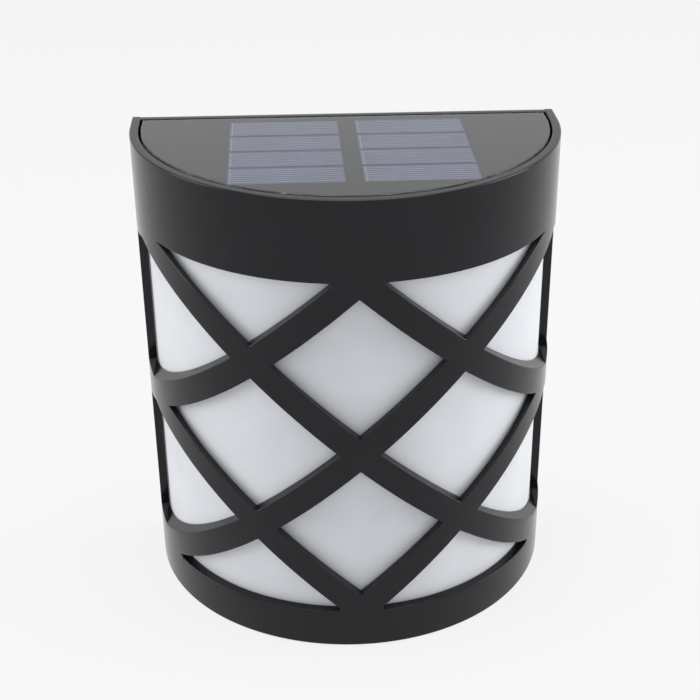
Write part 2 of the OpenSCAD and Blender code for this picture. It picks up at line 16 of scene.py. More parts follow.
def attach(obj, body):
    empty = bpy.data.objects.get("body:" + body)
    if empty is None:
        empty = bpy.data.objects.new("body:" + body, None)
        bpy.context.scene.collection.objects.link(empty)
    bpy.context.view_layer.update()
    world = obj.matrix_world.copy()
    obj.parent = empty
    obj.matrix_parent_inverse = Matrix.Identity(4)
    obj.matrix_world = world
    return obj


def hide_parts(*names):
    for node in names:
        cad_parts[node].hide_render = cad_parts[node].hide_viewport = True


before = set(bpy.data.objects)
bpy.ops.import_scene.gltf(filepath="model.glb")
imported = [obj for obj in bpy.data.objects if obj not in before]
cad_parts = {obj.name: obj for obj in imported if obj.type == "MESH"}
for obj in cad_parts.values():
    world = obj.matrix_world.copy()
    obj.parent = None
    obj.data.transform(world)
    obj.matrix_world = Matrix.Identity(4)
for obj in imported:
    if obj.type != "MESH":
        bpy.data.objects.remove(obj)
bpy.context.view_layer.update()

MM = 0.001
HOUSING = "housing"
LEVER = "switch_lever"

# Housing
OUTER_R = 52.5
WALL = 2.2
INNER_R = OUTER_R - WALL
SIDE_RUN = 7.5
BODY_H = 120.0
FLOOR_T = 2.2
RAIL_T = 2.2
TOP_BAND = 19.6
BASE_BAND = 10.7
RIM_ROUND = 0.4
BASE_ROUND = 0.6
HALF_TURN = OUTER_R * math.pi / 2
WALK = HALF_TURN + SIDE_RUN

# Lattice: windows are named by their column, 0 in the middle, and their row, 0 at the base band
CROSSING_RISE = 0.5
CROSSING_INSET = 0.1
STRAP_W = 6.6
STRAP_ROUND = 0.25
WINDOW_END = 12.0
WINDOW_CORNER = 0.2
LATTICE_FOOT = BASE_BAND + CROSSING_RISE
LATTICE_X = (INNER_R - CROSSING_INSET) / 2
LATTICE_Z = (BODY_H - TOP_BAND - BASE_BAND) / 4
STRAP_SLOPE = LATTICE_Z / LATTICE_X
WINDOWS = [(column, row) for column in range(-2, 3) for row in range(5) if (column + row) % 2]

# Lid
LID_GAP = 0.5
LID_R = INNER_R - LID_GAP
LID_BACK = -(RAIL_T + LID_GAP)
RESIN_Z = 118.6
RESIN_SEAT = 0.05
RESIN_ROUND = 0.25
LEDGE_Z = 112.0
LEDGE_T = 2.2
LEDGE_W = 3.0
LID_SCREWS = ((0, -51.9), (-44.4, -10.0), (44.4, -10.0))
PAD_R = 5.0
PAD_HOLE_R = 2.9

# Solar cells
CELL_L = 26.2
CELL_W = 10.0
CELL_GAP = 0.9
CELL_T = 0.4
CELL_COUNT = 4
CELL_START = 5.3
GROUP_GAP = 4.2
FINGERS = 7
FINGER_PITCH = 1.25
FINGER_W = 0.2
FINGER_MARGIN = 0.3
BUS_W = 0.15
BUS_INSET = 0.6
BUS_MARGIN = 0.2
PRINT_T = 0.03

# Diffuser
DIFFUSER_GAP = 0.3
DIFFUSER_R = INNER_R - DIFFUSER_GAP
DIFFUSER_T = 1.6
DIFFUSER_BACK = -3.4

# Inside of the housing: bosses on webs, and ribs for the rear gasket, all let into what holds them
REFLECTOR_FRONT = -22.0
BOSS_L = 10.0
BOSS_D = 6.6
BOSS_X = 37.54
BOSS_LOW = 10.4
BOSS_TOP = 103.8
PILOT_D = 2.5
WEB_T = 2.2
SEAL_RIB_X = 46.4
SEAL_RIB_T = 2.2
SEAL_RIB_H = 4.2
LET_IN = 0.5

# Light board, battery and switch
CARRIER_Y = -20.4
BOARD_Z = 59.0
BOARD_BACK = -14.8
BOARD_FRONT = -16.4
BOARD_SCREW_X = 26.5
LAMP_X = 22
LAMP_Z = 12
LAMP_R = 2.5
LAMP_BODY = 6.0
CHIP_X = -6.8
CHIP_W = 3.5
CHIP_H = 4.0
CHIP_LIFT = 0.1
CHIP_TOP = 1.8
LEAD_REACH = 2.25
LEAD_FOOT = 0.45
LEAD_T = 0.12
LEAD_W = 0.4
LEAD_RISE = 0.9
INDUCTOR_X = 8.0
BATTERY_X = -22.9
BATTERY_Y = -11.9
BATTERY_Z = 26.0
HOLDER_SCREW_X = 32.9
SPRING_X = -26.75
SWITCH_Z = 92.0
SWITCH_SCREW_X = 9.8

# Screws: where their tips lie, the cross recess, how much thread, head and tip fall away, how far
# the rod runs into the head, and the thread's rings for each turn
REAR_TIP_Y = -30.0
LID_TIP_Z = 116.6
SWITCH_TIP_Y = -2.7
CROSS_L = 2.4
CROSS_W = 0.6
THREAD_CUT = 0.24
HEAD_FALL = 0.16
TIP_SHARE = 0.3
INTO_HEAD = 0.3
THREAD_RINGS = 6

# Mesh making: seams closer than SEAM are closed, hidden faces stay HAIR apart, a flat keeps a
# border of FLAT_EDGE inside its rounding, a turned end closes at a radius of SHUT, and a lamp's
# dome at DOME of its radius
SEAM = 0.002
HAIR = 0.02
FLAT_EDGE = 0.4
SHUT = 0.05
DOME = 0.998

# Turns that take +Z to the way a part looks
TURNS = {"down": (math.pi, 0, 0), "back": (-math.pi / 2, 0, 0), "front": (math.pi / 2, 0, 0),
         "right": (0, math.pi / 2, 0)}

MATH = "ShaderNodeMath"
XYZ = "ShaderNodeCombineXYZ"


# Nodes and materials

def add(tree, kind, inputs=(), **settings):
    """Adds a node with its settings. inputs gives each socket, by name or in order, its value or
    what feeds it: a socket, a node, whose first output is meant, or a list of nodes."""
    node = tree.nodes.new(kind)
    for name, value in settings.items():
        setattr(node, name, value)
    for key, value in inputs.items() if isinstance(inputs, dict) else enumerate(inputs):
        for feed in value if isinstance(value, list) else [value]:
            if isinstance(feed, bpy.types.Node):
                feed = feed.outputs[0]
            if isinstance(feed, bpy.types.NodeSocket):
                tree.links.new(feed, node.inputs[key])
            else:
                node.inputs[key].default_value = feed
    return node


def linear(hex_colour):
    """An sRGB hex colour as linear RGBA."""
    channels = (int(hex_colour[i:i + 2], 16) / 255 for i in (1, 3, 5))
    return (*(c / 12.92 if c <= 0.04045 else ((c + 0.055) / 1.055) ** 2.4 for c in channels), 1)


def bare(library, name):
    """A new material or world with an empty node tree."""
    made = library.new(name)
    made.use_nodes = True
    made.node_tree.nodes.clear()
    return made, made.node_tree


def material(name, **fixed):
    """A material with a Principled shader, fixed socket values and its object coordinates."""
    made, tree = bare(bpy.data.materials, name)
    shader = add(tree, "ShaderNodeBsdfPrincipled", fixed)
    add(tree, "ShaderNodeOutputMaterial", [shader])
    return made, tree, shader, add(tree, "ShaderNodeTexCoord").outputs["Object"]


def mottle(tree, place, size_mm, dark, light, detail=3.0):
    """A colour that wanders between two tones over patches of a real size."""
    noise = add(tree, "ShaderNodeTexNoise", {
        "Vector": place, "Scale": 1 / (size_mm * MM), "Detail": detail, "Roughness": 0.55})
    ramp = add(tree, "ShaderNodeValToRGB", {"Fac": noise})
    for stop, at, colour in zip(ramp.color_ramp.elements, (0.3, 0.7), (dark, light)):
        stop.position, stop.color = at, linear(colour)
    return ramp


def roughness(tree, shader, place, size_mm, low, high):
    """Roughness that wanders between two values over patches of a real size."""
    noise = add(tree, "ShaderNodeTexNoise", {
        "Vector": place, "Scale": 1 / (size_mm * MM), "Detail": 4.0, "Roughness": 0.6})
    spread = add(tree, "ShaderNodeMapRange", {
        "Value": noise, "From Min": 0.3, "From Max": 0.7, "To Min": low, "To Max": high})
    tree.links.new(spread.outputs["Result"], shader.inputs["Roughness"])


def grain(tree, shader, place, size_mm, height_mm):
    """A moulded or cast grain in the surface's normal."""
    noise = add(tree, "ShaderNodeTexNoise", {
        "Vector": place, "Scale": 1 / (size_mm * MM), "Detail": 2.0, "Roughness": 0.5})
    bump = add(tree, "ShaderNodeBump", {
        "Height": noise, "Distance": height_mm * MM, "Strength": 1.0})
    tree.links.new(bump.outputs["Normal"], shader.inputs["Normal"])


def finish(name, dark, light, patch_mm, rough=None, grained=None, detail=3.0, **fixed):
    """A material in two near tones. rough is the size of the roughness's patches and its two ends,
    and grained is the size and the height of its grain."""
    made, tree, shader, place = material(name, **fixed)
    colour = mottle(tree, place, patch_mm, dark, light, detail)
    tree.links.new(colour.outputs["Color"], shader.inputs["Base Color"])
    if rough:
        roughness(tree, shader, place, *rough)
    if grained:
        grain(tree, shader, place, *grained)
    return made


def moulded(name, dark, light, low, high, grain_mm=0.35, grain_h=0.006, patch_mm=9.0, **fixed):
    """Injection moulded plastic: an almost even colour, a fine grain and a satin sheen."""
    return finish(name, dark, light, patch_mm, (patch_mm * 0.6, low, high), (grain_mm, grain_h),
                  **fixed)


def metal(name, dark, light, low, high):
    """Plated metal: an even colour, with a fine drawn or rolled grain."""
    return finish(name, dark, light, 1.2, (0.8, low, high), (0.2, 0.002), Metallic=1.0)


# ABS, injection moulded in a finely eroded mould: satin black with a faint warm violet cast
BLACK_ABS = moulded("black_abs_satin", "#131115", "#171419", 0.15, 0.19, IOR=1.5,
                    **{"Specular IOR Level": 0.25})

# The same ABS from a coarser mould, for the rear cover and the lid's tray: a little duller
DULL_ABS = moulded("black_abs_eroded", "#171518", "#1e1c1f", 0.46, 0.56, 0.5, 0.012, IOR=1.5,
                   **{"Specular IOR Level": 0.35})

# High impact polystyrene, moulded white, for the reflector and the battery holder
WHITE_HIPS = moulded("white_polystyrene", "#e6e6e1", "#efefeb", 0.3, 0.38, IOR=1.5)

# Acetal knob of the slide switch, moulded: off-white, waxy and smooth
ACETAL = moulded("acetal_knob", "#dcdcd6", "#e6e6e1", 0.26, 0.34, grain_h=0.002, patch_mm=3.0,
                 IOR=1.48, **{"Subsurface Weight": 0.1, "Subsurface Scale": 0.0005})

# Glass filled nylon of the switch's body, moulded: dull black with a sandy grain
NYLON = moulded("glass_filled_nylon", "#151515", "#1e1e1f", 0.5, 0.62, 0.2, 0.01, 2.0, IOR=1.52)

# EPDM rubber of the gaskets, moulded: deep matt black
EPDM = moulded("epdm_rubber", "#121213", "#1a1a1b", 0.62, 0.75, 0.25, 0.008, 3.0, IOR=1.5)

# Soft PVC on the wires, extruded: a smooth low gloss
RED_PVC, BLACK_PVC = (
    moulded(colour + "_pvc_insulation", dark, light, 0.32, 0.4, 0.35, 0.001, 3.0, IOR=1.53)
    for colour, dark, light in (("red", "#9c1c20", "#ab2226"), ("black", "#161617", "#1d1d1e")))

# Epoxy of the driver chip's case, transfer moulded: dull black
CHIP_EPOXY = moulded("moulded_chip_epoxy", "#161617", "#202021", 0.45, 0.6, 0.12, 0.004, 1.5,
                     IOR=1.55)

# Ferrite of the inductor's core, pressed and sintered: dark grey with a slightly open grain
FERRITE = moulded("sintered_ferrite", "#2b2b2d", "#3a3a3c", 0.42, 0.6, 0.15, 0.008, 0.8, IOR=1.8)

# PVC shrink sleeve of the rechargeable cell: a plain green skin, glossy over a steel can
SHRINK = moulded("green_shrink_sleeve", "#2f7043", "#36804d", 0.18, 0.26, 3.0, 0.01, 12.0,
                 IOR=1.53, **{"Coat Weight": 0.3})

# Opal polycarbonate of the diffuser, extruded and frosted: light spreads in it and looks milky
OPAL = finish("opal_polycarbonate", "#d8dade", "#dfe1e4", 14.0, (10.0, 0.48, 0.56), (0.4, 0.01),
              IOR=1.58, **{"Subsurface Weight": 0.12, "Subsurface Scale": 0.0012,
                           "Subsurface Radius": (1.0, 1.0, 1.0), "Specular IOR Level": 0.35})

# The lid's resin at its side, where it set against the mould: clouded and grey
RESIN_EDGE = finish("clouded_resin_edge", "#6f716e", "#7d7f7b", 3.0, (2.0, 0.35, 0.45), IOR=1.5)

# Amorphous silicon of the cells, coated: slate blue, and a little uneven from strip to strip
SILICON = finish("coated_silicon", "#4f5775", "#5c6485", 6.0, (3.0, 0.3, 0.42), detail=5.0,
                 IOR=1.6, **{"Specular IOR Level": 0.12})

# Clear epoxy of the lamps, cast, with the faint yellow of the phosphor in it
LED_EPOXY = finish("cast_led_epoxy", "#f1f0dc", "#f7f6ea", 2.0, IOR=1.54, Roughness=0.12,
                   **{"Transmission Weight": 0.55})

# Zinc plated steel screws: bright, slightly blue
ZINC = metal("zinc_plated_steel", "#a9adb3", "#c2c5ca", 0.24, 0.38)
# Nickel plated spring steel of the battery's contacts and the switch's frame: bright and warm
NICKEL = metal("nickel_plated_steel", "#b3ada3", "#cdc8bf", 0.2, 0.32)
# Tinned brass of the switch's terminals and the chip's leads: pale, slightly yellow
TINNED = metal("tinned_brass", "#b9b4a4", "#d0ccbf", 0.25, 0.4)
# Enamelled copper wire of the inductor: glossy red brown
COPPER = metal("enamelled_copper", "#a4592c", "#bf7140", 0.2, 0.32)
# Screen printed silver of the cells' fingers and bus bars: pale and matt
SILVER = metal("printed_silver", "#a3a9b7", "#b3b9c6", 0.45, 0.55)


def poured_resin():
    """Epoxy resin, poured over the cells and levelled by itself: clear, with a satin worn face."""
    made, tree, shader, place = material("poured_epoxy_resin", IOR=1.5, **{
        "Transmission Weight": 1.0, "Base Color": linear("#f4f6f4")})
    roughness(tree, shader, place, 12.0, 0.05, 0.07)
    return made


def patterned(tree, shader, base, mask, tone):
    """Gives the shader a base colour, with a second tone where a mask is 1."""
    mix = add(tree, "ShaderNodeMix", {0: mask, 6: base, 7: linear(tone)}, data_type="RGBA")
    tree.links.new(mix.outputs[2], shader.inputs["Base Color"])


def lamp_board_mask():
    """Green solder mask, printed and cured on a glass fibre board: etched traces show up paler."""
    made, tree, shader, place = material("green_solder_mask", IOR=1.5, **{
        "Coat Weight": 0.3, "Coat Roughness": 0.2})
    # Traces 0.9 mm wide run across the board every 5 mm, and are broken up by a coarse noise
    height = add(tree, "ShaderNodeSeparateXYZ", [place]).outputs["Z"]
    wave = add(tree, MATH, (height, 2.5 * MM), operation="PINGPONG")
    narrow = add(tree, MATH, (wave, 0.45 * MM), operation="LESS_THAN")
    patch = add(tree, "ShaderNodeTexNoise", {"Vector": place, "Scale": 1 / (9 * MM), "Detail": 0.0})
    where = add(tree, MATH, (patch, 0.5), operation="GREATER_THAN")
    trace = add(tree, MATH, (narrow, where), operation="MULTIPLY")
    patterned(tree, shader, mottle(tree, place, 5.0, "#1e5a35", "#26683f"), trace, "#3c8a58")
    roughness(tree, shader, place, 4.0, 0.35, 0.45)
    grain(tree, shader, place, 0.5, 0.006)
    return made


def panel_board_mask():
    """Black solder mask, printed on the board under the cells: its glass cloth shows faintly."""
    made, tree, shader, place = material("panel_board_mask", IOR=1.5, **{
        "Specular IOR Level": 0.05})
    # Glass cloth: threads 0.6 mm apart both ways. A wave's bands lie pi / 10 apart at scale 1
    threads = [add(tree, "ShaderNodeTexWave", {
        "Vector": place, "Scale": math.pi / 10 / (0.6 * MM), "Distortion": 0.4},
        bands_direction=way).outputs["Fac"] for way in "XY"]
    weave = add(tree, MATH, threads, operation="MULTIPLY")
    patterned(tree, shader, mottle(tree, place, 8.0, "#1a1d1c", "#212523"), weave, "#272b29")
    roughness(tree, shader, place, 4.0, 0.5, 0.6)
    return made


EPOXY = poured_resin()
GREEN_MASK = lamp_board_mask()
PANEL_BOARD = panel_board_mask()


# Meshes

def placed(name, data):
    """An object of its data, put in the scene."""
    made = bpy.data.objects.new(name, data)
    bpy.context.scene.collection.objects.link(made)
    return made


def mesh_of(name, points, faces=()):
    """A mesh from points in millimetres."""
    mesh = bpy.data.meshes.new(name)
    mesh.from_pydata([[c * MM for c in p] for p in points], [], faces)
    return mesh


class Piece:
    """Collects the closed shapes of one piece, in millimetres."""

    def __init__(self):
        self.points = []
        self.faces = []
        self.slots = []

    def add(self, points, faces, slot=0):
        start = len(self.points)
        self.points += [tuple(p) for p in points]
        self.faces += [[start + i for i in face] for face in faces]
        self.slots += [slot] * len(faces)

    def loft(self, rings, slot=0, capped=True):
        """Skin through closed rings of equal count, its two ends capped."""
        count = len(rings[0])
        last = (len(rings) - 1) * count
        faces = [[i + k, i + (k + 1) % count, i + (k + 1) % count + count, i + k + count]
                 for i in range(0, last, count) for k in range(count)]
        if capped:
            faces += [list(range(count))[::-1], list(range(last, last + count))]
        self.add([p for ring in rings for p in ring], faces, slot)

    def block(self, low, high, soft=0.2):
        """A box with softened edges."""
        bm = bmesh.new()
        bmesh.ops.create_cube(bm, size=1)
        size = [h - l for l, h in zip(low, high)]
        for v in bm.verts:
            v.co = [(h + l) / 2 + s * c for l, h, s, c in zip(low, high, size, v.co)]
        bmesh.ops.bevel(bm, geom=bm.edges[:], offset=min(soft, min(size) / 3), segments=2,
                        profile=0.5, affect="EDGES")
        bm.verts.index_update()
        self.add([v.co[:] for v in bm.verts], [[v.index for v in f.verts] for f in bm.faces])
        bm.free()

    def turned(self, profile, at, axis, slot=0, steps=48):
        """A turned shape: profile pairs a radius with a distance along the axis, from at."""
        axis = Vector(axis).normalized()
        side = axis.orthogonal().normalized()
        up = axis.cross(side)
        turns = [2 * math.pi * k / steps for k in range(steps)]
        self.loft([[Vector(at) + axis * along + radius * (side * math.cos(t) + up * math.sin(t))
                    for t in turns] for radius, along in profile], slot)

    def finished(self, name, materials, stands_for, body=HOUSING):
        """The finished object, dressed and riding on its body."""
        mesh = mesh_of(name, self.points, self.faces)
        for polygon, slot in zip(mesh.polygons, self.slots):
            polygon.material_index = slot
        dress(placed(name, mesh), materials, body=body, stands_for=stands_for)


def dress(made, materials=(), sharp=38.0, body=HOUSING, stands_for=(), weighted=True):
    """Closes an object's seams, turns its faces outwards, shades it, gives it its materials and
    sets it on its body."""
    bm = bmesh.new()
    bm.from_mesh(made.data)
    bmesh.ops.remove_doubles(bm, verts=bm.verts[:], dist=SEAM * MM)
    bmesh.ops.recalc_face_normals(bm, faces=bm.faces[:])
    bm.to_mesh(made.data)
    bm.free()
    for paint in materials:
        made.data.materials.append(paint)
    made.data.shade_smooth()
    made.data.set_sharp_from_angle(angle=math.radians(sharp))
    if weighted:
        even = made.modifiers.new("even_normals", "WEIGHTED_NORMAL")
        even.keep_sharp = True
        even.weight = 50
        settle(made)
    if stands_for:
        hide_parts(*stands_for)
    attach(made, body)


def settle(made):
    """Applies an object's modifiers by taking the mesh that they make."""
    graph = bpy.context.evaluated_depsgraph_get()
    mesh = bpy.data.meshes.new_from_object(made.evaluated_get(graph))
    made.modifiers.clear()
    made.data = mesh
    mesh.name = made.name


def quarter(steps):
    """A quarter round of radius 1 from a face's edge: how far in and how far up."""
    turns = (math.pi / 2 * k / steps for k in range(steps + 1))
    return [(1 - math.cos(t), math.sin(t)) for t in turns]


def plan(r, back_y, z, steps=96):
    """A closed ring round the light's plan: straight sides from back_y and a half round front."""
    front = [(r * math.cos(t), -SIDE_RUN - r * math.sin(t), z)
             for t in (math.pi * k / steps for k in range(steps + 1))]
    return [(r, back_y, z)] + front + [(-r, back_y, z)]


def plan_slab(piece, r, back_y, low, high, soft_low, soft_high):
    """A half round slab with rounded lower and upper edges, whose flats stay flat."""
    edge = [(soft_low + FLAT_EDGE, low)]
    edge += [(soft_low * (1 - up), low + soft_low * far) for far, up in quarter(3)]
    edge += [(soft_high * far, high - soft_high * (1 - up)) for far, up in quarter(3)]
    edge.append((soft_high + FLAT_EDGE, high))
    piece.loft([plan(r - inset, back_y - inset, z) for inset, z in edge])


# Housing

def on_wall(s, depth, z):
    """A point of the wall: s runs round its outside from the middle of the front, depth inwards."""
    r = OUTER_R - depth
    if abs(s) <= HALF_TURN:
        turn = s / OUTER_R
        return (r * math.sin(turn), -SIDE_RUN - r * math.cos(turn), z)
    return (math.copysign(r, s), -SIDE_RUN + abs(s) - HALF_TURN, z)


def walk_at(x, depth):
    """How far round the wall a place x right of the middle lies, at a depth in the wall."""
    return OUTER_R * math.asin(max(-1, min(1, x / (OUTER_R - depth))))


def across(s, depth):
    """How far right of the middle a point of the wall lies."""
    return (OUTER_R - depth) * math.sin(s / OUTER_R)


def strap_half(x, grow):
    """Half the height of a strap at x. It keeps its width along the wall, as in the CAD model."""
    return (STRAP_W / 2 - grow) * math.sqrt(1 + STRAP_SLOPE ** 2 * (1 - (x / OUTER_R) ** 2))


def half_height(middle, x, grow):
    """Half the height at x of a window grown by grow whose middle lies at middle."""
    return LATTICE_Z - STRAP_SLOPE * abs(x - middle) - strap_half(x, grow)


def where_low(middle, way, height, grow):
    """Where a window's half height has come down to a height, on the side that way names."""
    x = middle
    for _ in range(12):
        x = middle + way * (LATTICE_Z - height - strap_half(x, grow)) / STRAP_SLOPE
    return x


def window_end(depth, grow):
    """How far round the wall the outermost windows reach."""
    return OUTER_R * math.acos((WINDOW_END - SIDE_RUN) / (OUTER_R - depth)) + grow


def evenly(run, count, trim):
    """A run of points as count points at even distances, short of both its ends by trim."""
    lengths = [math.dist(a, b) for a, b in zip(run, run[1:])]
    total = sum(lengths)
    trim = min(trim, total / 3)
    made = []
    for k in range(count):
        left = trim + (total - 2 * trim) * k / (count - 1)
        i = 0
        while i < len(lengths) - 1 and left > lengths[i]:
            left -= lengths[i]
            i += 1
        share = left / lengths[i]
        made.append(tuple(a + (b - a) * share for a, b in zip(run[i], run[i + 1])))
    return made


def window_ring(window, depth, grow):
    """The outline of a window grown by grow at a depth in the wall: places round the wall, heights.
    It has the same number of points at every depth."""
    column, row = window
    if column < 0:
        return [(-s, z) for s, z in window_ring((-column, row), depth, grow)]
    middle, level = column * LATTICE_X, LATTICE_FOOT + row * LATTICE_Z
    below, above, shy = -1, 1, 0.3
    # Points on a strap's edge, its end, an outermost window's upright, a band's edge and a stub
    strap, strap_end, upright_edge, band, stub = 28, 10, 36, 44, 3

    def strap_edge(x0, x1, way, count=strap, samples=24):
        s0, s1 = walk_at(x0, depth), walk_at(x1, depth)
        places = (s0 + (s1 - s0) * k / samples for k in range(samples + 1))
        return [(s, level + way * half_height(middle, across(s, depth), grow))
                for s in places], count

    left, right = (where_low(middle, way, 0, grow) for way in (-1, 1))
    if column == 2:
        end = window_end(depth, grow)
        x_end, turn = across(end, depth), min(middle, across(end - shy, depth))
        low = strap_edge(turn, x_end, below, strap_end)
        high = strap_edge(x_end, turn, above, strap_end)
        sides = [strap_edge(left, turn, below), low, ([low[0][-1], high[0][0]], upright_edge),
                 high, strap_edge(turn, left, above)]
    else:
        # The base band cuts the lowest windows off below their middle, the top band the highest
        cut = CROSSING_RISE + grow if row == 0 else CROSSING_RISE - grow
        near, far = (where_low(middle, way, cut, grow) for way in (-1, 1))
        flat = [(walk_at(x, depth), level - cut) for x in (near, far)]
        sides = [strap_edge(left, middle, below), strap_edge(middle, right, below),
                 strap_edge(right, middle, above), strap_edge(middle, left, above)]
        if row == 0:
            sides[:2] = [strap_edge(left, near, below, stub), (flat, band),
                         strap_edge(far, right, below, stub)]
        elif row == 4:
            sides = [strap_edge(near, middle, below), strap_edge(middle, far, below),
                     (flat[::-1], band)]
    runs = [evenly(run, count, WINDOW_CORNER + grow) for run, count in sides]
    ring = []
    for k, run in enumerate(runs):
        corner, after = sides[k][0][-1], runs[(k + 1) % len(runs)][0]
        ring += run
        for t in (0.25, 0.5, 0.75):
            ring.append(tuple((1 - t) ** 2 * p + 2 * t * (1 - t) * c + t * t * q
                              for p, c, q in zip(run[-1], corner, after)))
    return ring


def inside(window, s, z, depth, grow):
    """Whether a place on the wall lies in a window grown by grow, its corners left sharp."""
    column, row = window
    s = math.copysign(1, column) * s if column else s
    middle, level = abs(column) * LATTICE_X, LATTICE_FOOT + row * LATTICE_Z
    return (s <= window_end(depth, grow)
            and abs(z - level) < half_height(middle, across(s, depth), grow)
            and BASE_BAND - grow < z < BODY_H - TOP_BAND + grow)


def in_ring(ring, s, z):
    """Whether a point lies in a closed ring, by crossings."""
    hit = False
    for (ax, az), (bx, bz) in zip(ring, ring[-1:] + ring[:-1]):
        if (az > z) != (bz > z) and s < (bx - ax) * (z - az) / (bz - az) + ax:
            hit = not hit
    return hit


def pierced_face(piece, low, high, depth, grow, columns, row_count=30, clear=0.35):
    """One face of the wall between two heights, with the windows left out. Its inner points stay
    clear of the windows."""
    rows = [low + (high - low) * k / row_count for k in range(row_count + 1)]
    points, edges = [], []

    def chain(run):
        start = len(points)
        points.extend(run)
        edges.extend((start + k, start + (k + 1) % len(run)) for k in range(len(run)))

    chain([(s, low) for s in columns] + [(s, high) for s in reversed(columns)])
    rings = [window_ring(window, depth, grow) for window in WINDOWS]
    for ring in rings:
        chain(ring)
    points += [(s, z) for s in columns[1:-1] for z in rows[1:-1]
               if not any(inside(window, s, z, depth, grow + clear) for window in WINDOWS)]
    result = delaunay_2d_cdt([Vector(p) for p in points], edges, [], 0, 1e-5)
    flat, kept = result[0], []
    for face in result[2]:
        s, z = (sum(flat[i][k] for i in face) / len(face) for k in (0, 1))
        if not any(in_ring(ring, s, z) for ring in rings):
            kept.append(list(face))
    piece.add([on_wall(p[0], depth, p[1]) for p in flat], kept)


def pierced_wall(piece):
    """The wall: outer and inner face, rounded rim and base, rear ends and the windows' sides."""
    front_steps, side_steps = 64, 3
    columns = sorted(
        [way * (HALF_TURN + SIDE_RUN * k / side_steps)
         for way in (-1, 1) for k in range(1, side_steps + 1)]
        + [HALF_TURN * k / front_steps for k in range(-front_steps, front_steps + 1)])
    low, high = BASE_ROUND, BODY_H - RIM_ROUND
    pierced_face(piece, low, high, 0, STRAP_ROUND, columns)
    pierced_face(piece, 0, high, WALL, 0, columns)

    # The rim's top and the base's underside, as strips along the wall
    rim = [(RIM_ROUND * far, high + RIM_ROUND * up) for far, up in quarter(4)]
    rim += [(WALL - d, z) for d, z in reversed(rim)]
    base = [(BASE_ROUND * far, low - BASE_ROUND * up) for far, up in quarter(4)]
    base.append((WALL, 0))
    for profile in (rim, base):
        n = len(columns)
        for (d0, z0), (d1, z1) in zip(profile, profile[1:]):
            piece.add([on_wall(s, d0, z0) for s in columns] + [on_wall(s, d1, z1) for s in columns],
                      [[k, k + 1, n + k + 1, n + k] for k in range(n - 1)])

    section = [(0, low)] + rim + [(WALL, 0)] + base[::-1][1:-1]
    for side in (-1, 1):
        piece.add([on_wall(side * WALK, d, z) for d, z in section], [list(range(len(section)))])

    # The rounded edge and the straight side wall of each window
    eased_edge = [(STRAP_ROUND * (1 - up), STRAP_ROUND * far) for far, up in quarter(3)]
    for window in WINDOWS:
        piece.loft([[on_wall(s, depth, z) for s, z in window_ring(window, depth, grow)]
                    for grow, depth in eased_edge + [(0, WALL)]], capped=False)


def ledge(piece, soft=0.2):
    """The ledge that the lid's gasket lies on, with a pad for each of its screws."""
    low, high = LEDGE_Z, LEDGE_Z + LEDGE_T
    outer, outer_back = INNER_R + LET_IN, -HAIR
    inner, inner_back = INNER_R - LEDGE_W, -RAIL_T - LEDGE_W
    rings = [plan(outer - inset, outer_back - inset, z)
             for inset, z in ((soft, low), (0, low + soft), (0, high - soft), (soft, high))]
    rings += [plan(inner + inset, inner_back + inset, z)
              for inset, z in ((soft, high), (0, high - soft), (0, low + soft), (soft, low))]
    piece.loft(rings + rings[:1], capped=False)
    tall = LEDGE_T - 2 * HAIR
    for x, y in LID_SCREWS:
        piece.turned([(PAD_HOLE_R, soft), (PAD_HOLE_R + soft, 0), (PAD_R - soft, 0), (PAD_R, soft),
                      (PAD_R, tall - soft), (PAD_R - soft, tall), (PAD_HOLE_R + soft, tall),
                      (PAD_HOLE_R, tall - soft), (PAD_HOLE_R, soft)],
                     (x, y, LEDGE_Z + HAIR), (0, 0, 1))


def lattice_housing():
    """The housing: pierced wall, floor, rail, ledge, ribs for the rear gasket, and screw bosses."""
    piece = Piece()
    pierced_wall(piece)
    plan_slab(piece, INNER_R + LET_IN, 0, HAIR, FLOOR_T, 0.1, 0.1)
    piece.block((-INNER_R - LET_IN, -RAIL_T, LEDGE_Z), (INNER_R + LET_IN, -HAIR, BODY_H - HAIR),
                soft=RIM_ROUND * 0.8)
    ledge(piece)
    for z in (FLOOR_T - LET_IN, LEDGE_Z - SEAL_RIB_H):
        piece.block((-SEAL_RIB_X, DIFFUSER_BACK - SEAL_RIB_T, z),
                    (SEAL_RIB_X, DIFFUSER_BACK, z + SEAL_RIB_H + LET_IN))

    # Bosses for the rear cover's screws, on webs from the floor and the ledge
    bore, rim, ease, blind, lap = PILOT_D / 2, BOSS_D / 2, 0.3, BOSS_L - 0.4, 0.2
    for x in (-BOSS_X, BOSS_X):
        for z, web_low, web_high in (
                (BOSS_LOW, FLOOR_T - LET_IN, BOSS_LOW - rim + lap),
                (BOSS_TOP, BOSS_TOP + rim - lap, LEDGE_Z + LEDGE_T)):
            piece.turned([(bore, blind), (bore, ease), (bore + ease, 0), (rim - ease, 0),
                          (rim, ease), (rim, BOSS_L), (SHUT, BOSS_L), (SHUT, blind)],
                         (x, REFLECTOR_FRONT, z), (0, -1, 0))
            piece.block((x - WEB_T / 2, REFLECTOR_FRONT - BOSS_L, web_low),
                        (x + WEB_T / 2, REFLECTOR_FRONT - lap, web_high))
    piece.finished("lattice_housing", [BLACK_ABS], ["front_shell"])


